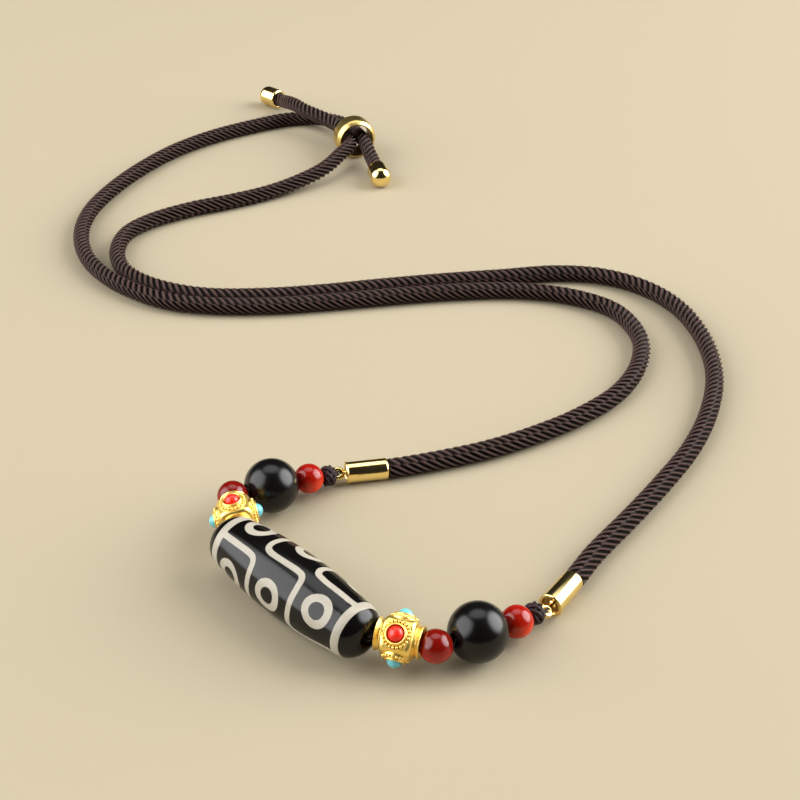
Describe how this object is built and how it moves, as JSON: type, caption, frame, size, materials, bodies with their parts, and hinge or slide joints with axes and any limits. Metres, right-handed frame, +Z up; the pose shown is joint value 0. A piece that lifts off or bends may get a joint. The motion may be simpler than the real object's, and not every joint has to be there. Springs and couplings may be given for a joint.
{
  "type": "cord pendant necklace",
  "caption": "Necklace laid flat: an eye-patterned barrel bead between gold, red and black beads, on a braided cord loop with cord caps, a ring slider and metal tips.",
  "frame": {"origin": "on the surface that the necklace lies on, under the middle of the strand of beads between the two cord caps", "axes": "+Z up; +X to the right along the strand as the picture shows it; +Y away from the viewer, towards the slider"},
  "size_m": [0.151, 0.2485, 0.0122],
  "materials": {
    "patterned_agate": "polished black stone with cream lines and eyes",
    "gold": "bright yellow gold with granulation",
    "polished_gold": "mirror polished, pale gold plate",
    "coral": "polished cabochon",
    "turquoise": "polished cabochon",
    "red_agate": "polished, slightly translucent",
    "black_agate": "polished",
    "cord": "braided dark brown cord with a silky sheen",
    "thread": "waxed dark brown thread"
  },
  "bodies": {
    "root": {"pendant_bead": "patterned_agate", "gold_bead_left": "gold", "gold_bead_right": "gold", "coral_left_1": "coral", "coral_left_2": "coral", "coral_right_1": "coral", "coral_right_2": "coral", "turquoise_left_1": "turquoise", "turquoise_left_2": "turquoise", "turquoise_right_1": "turquoise", "turquoise_right_2": "turquoise", "red_bead_left_inner": "red_agate", "red_bead_left_outer": "red_agate", "red_bead_right_inner": "red_agate", "red_bead_right_outer": "red_agate", "black_bead_left": "black_agate", "black_bead_right": "black_agate", "thread": "thread", "knot_left": "thread", "knot_right": "thread", "cap_left": "polished_gold", "cap_right": "polished_gold", "cord_left": "cord", "cord_right": "cord", "slider": "polished_gold", "tip_left": "polished_gold", "tip_right": "polished_gold"}
  },
  "joints": []
}
